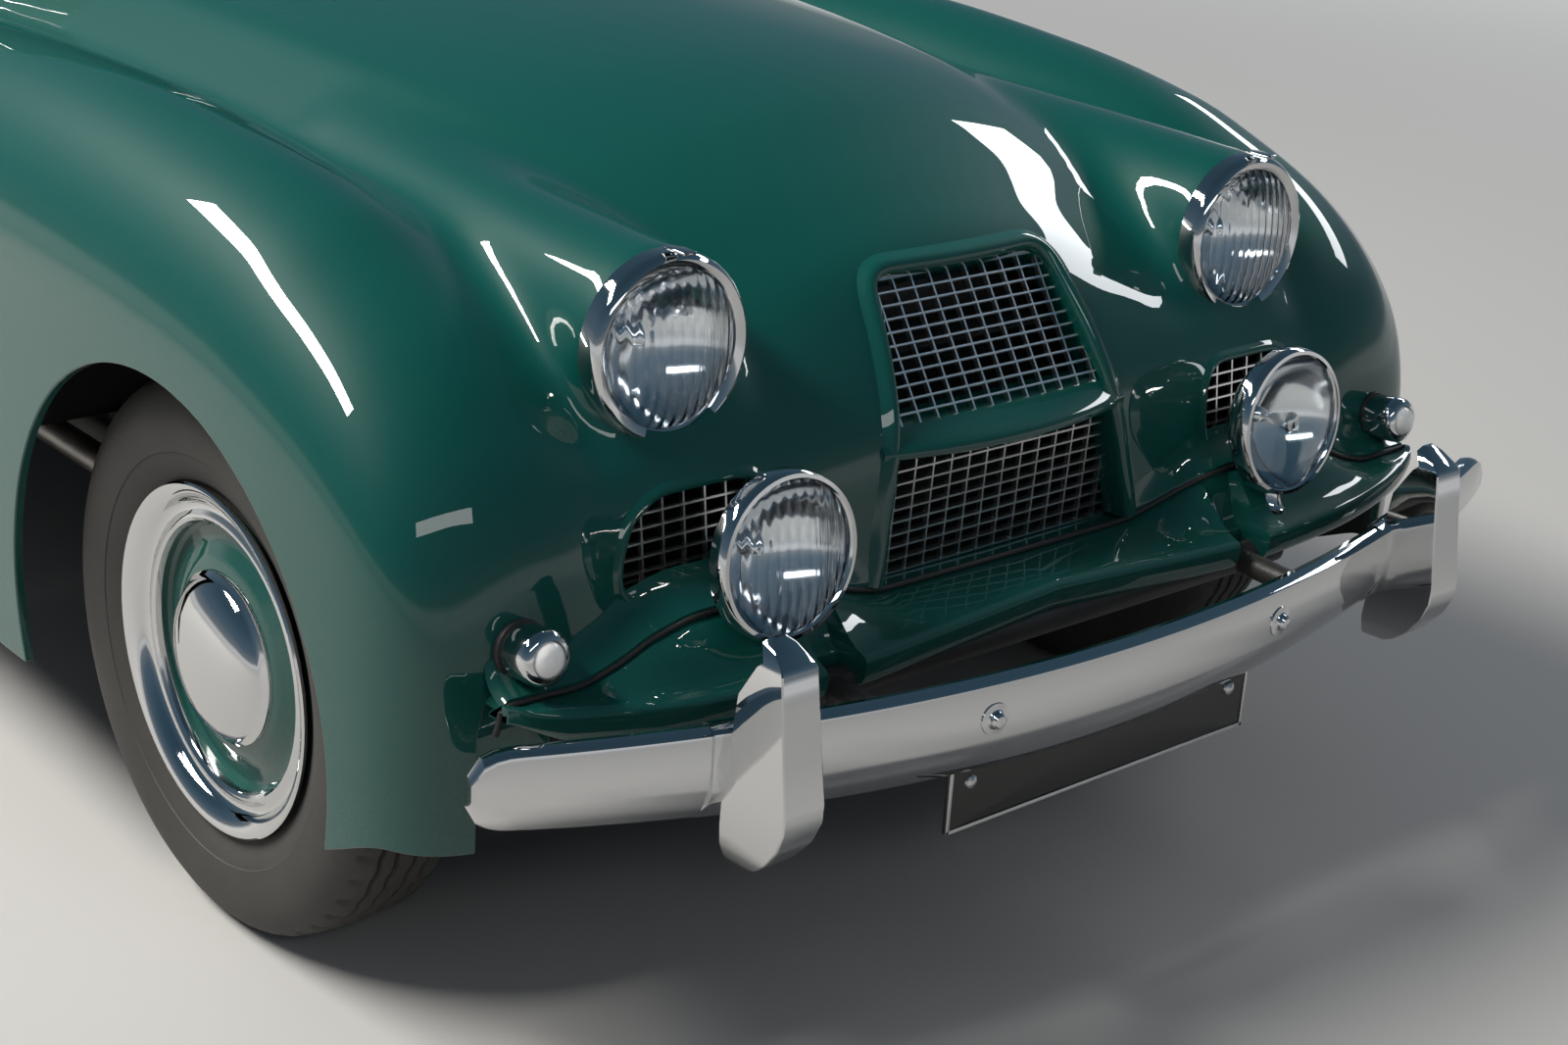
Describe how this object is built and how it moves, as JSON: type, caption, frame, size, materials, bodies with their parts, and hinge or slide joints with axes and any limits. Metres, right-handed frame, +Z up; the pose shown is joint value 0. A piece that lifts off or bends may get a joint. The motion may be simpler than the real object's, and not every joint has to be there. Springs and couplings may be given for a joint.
{
  "type": "classic saloon car",
  "caption": "Early-1950s two-door saloon with a one-piece tilting front, mesh grilles, round lamps, curved chrome bumpers, opening doors and boot, steered front wheels and turning road wheels.",
  "frame": {"origin": "on the ground under the middle of the car's overall box", "axes": "the car faces -Y, +X is its left side, +Z is up"},
  "size_m": [1.752, 4.839, 1.508],
  "materials": {
    "body_paint": "deep green gloss paint",
    "black_paint": "satin black chassis paint",
    "chrome": "polished",
    "clear_glass": "clear",
    "lens_glass": "fluted",
    "red_lens": "gloss",
    "tyre": "worn, slightly dusty",
    "steel": "plain",
    "cast_metal": "painted casting",
    "leather": "tan hide",
    "wood": "varnished",
    "plate_black": "blank",
    "wheel_black": "gloss"
  },
  "bodies": {
    "car": {"body_tub": "body_paint", "roof_shell": "body_paint", "chassis_frame": "black_paint", "front_bumper": "chrome", "rear_bumper": "chrome", "plates": "plate_black", "tail_lamps": "red_lens", "front_suspension": "black_paint", "rear_axle": "black_paint", "engine": "cast_metal", "radiator": "black_paint", "exhaust": "steel", "fuel_tank": "black_paint", "seats": "leather", "dashboard": "wood", "steering_column": "black_paint", "fixed_glass": "clear_glass"},
    "front_clip": {"front_clip": "body_paint", "apron": "body_paint", "main_grille": "chrome", "side_grilles": "chrome", "headlamps": "chrome", "fog_lamps": "chrome", "side_lamps": "chrome", "lamp_lenses": "lens_glass"},
    "boot_lid": {"boot_lid": "body_paint"},
    "steering_wheel": {"steering_wheel": "wheel_black"},
    "door_left": {"door_left": "body_paint", "door_glass_left": "clear_glass", "door_handle_left": "chrome"},
    "knuckle_left": {"knuckle_left": "black_paint"},
    "wheel_front_left": {"wheel_front_left": "body_paint", "tyre_front_left": "tyre", "hubcap_front_left": "chrome"},
    "wheel_rear_left": {"wheel_rear_left": "body_paint", "tyre_rear_left": "tyre", "hubcap_rear_left": "chrome"},
    "door_right": {"door_right": "body_paint", "door_glass_right": "clear_glass", "door_handle_right": "chrome"},
    "knuckle_right": {"knuckle_right": "black_paint"},
    "wheel_front_right": {"wheel_front_right": "body_paint", "tyre_front_right": "tyre", "hubcap_front_right": "chrome"},
    "wheel_rear_right": {"wheel_rear_right": "body_paint", "tyre_rear_right": "tyre", "hubcap_rear_right": "chrome"}
  },
  "joints": [
    {"name": "front_clip_tilt", "type": "hinge", "parent": "car", "child": "front_clip", "pos_m": [0, -2.2275, 0.44], "axis": [1, 0, 0], "range_deg": [0, 35]},
    {"name": "boot_lid_lift", "type": "hinge", "parent": "car", "child": "boot_lid", "pos_m": [0, 1.6665, 1.209], "axis": [1, 0, 0], "range_deg": [0, 50]},
    {"name": "door_left_swing", "type": "hinge", "parent": "car", "child": "door_left", "pos_m": [0.868, -0.4975, 0.7], "axis": [0, 0, -1], "range_deg": [0, 65]},
    {"name": "steer_left", "type": "hinge", "parent": "car", "child": "knuckle_left", "pos_m": [0.612, -1.6275, 0.348], "axis": [0, 0, 1], "range_deg": [-30, 30]},
    {"name": "wheel_front_left_spin", "type": "hinge", "parent": "knuckle_left", "child": "wheel_front_left", "pos_m": [0.7245, -1.6275, 0.348], "axis": [1, 0, 0], "continuous": true},
    {"name": "wheel_rear_left_spin", "type": "hinge", "parent": "car", "child": "wheel_rear_left", "pos_m": [0.7245, 1.2175, 0.348], "axis": [1, 0, 0], "continuous": true},
    {"name": "door_right_swing", "type": "hinge", "parent": "car", "child": "door_right", "pos_m": [-0.868, -0.4975, 0.7], "axis": [0, 0, 1], "range_deg": [0, 65]},
    {"name": "steer_right", "type": "hinge", "parent": "car", "child": "knuckle_right", "pos_m": [-0.612, -1.6275, 0.348], "axis": [0, 0, 1], "range_deg": [-30, 30]},
    {"name": "wheel_front_right_spin", "type": "hinge", "parent": "knuckle_right", "child": "wheel_front_right", "pos_m": [-0.7245, -1.6275, 0.348], "axis": [1, 0, 0], "continuous": true},
    {"name": "wheel_rear_right_spin", "type": "hinge", "parent": "car", "child": "wheel_rear_right", "pos_m": [-0.7245, 1.2175, 0.348], "axis": [1, 0, 0], "continuous": true},
    {"name": "steering_wheel_turn", "type": "hinge", "parent": "car", "child": "steering_wheel", "pos_m": [-0.36, -0.0675, 0.8], "axis": [0, 0.8829, 0.4695], "range_deg": [-480, 480]}
  ],
  "couplings": [
    {"joint": "steer_right", "follows": "steer_left", "ratio": 1},
    {"joint": "steering_wheel_turn", "follows": "steer_left", "ratio": 16}
  ]
}
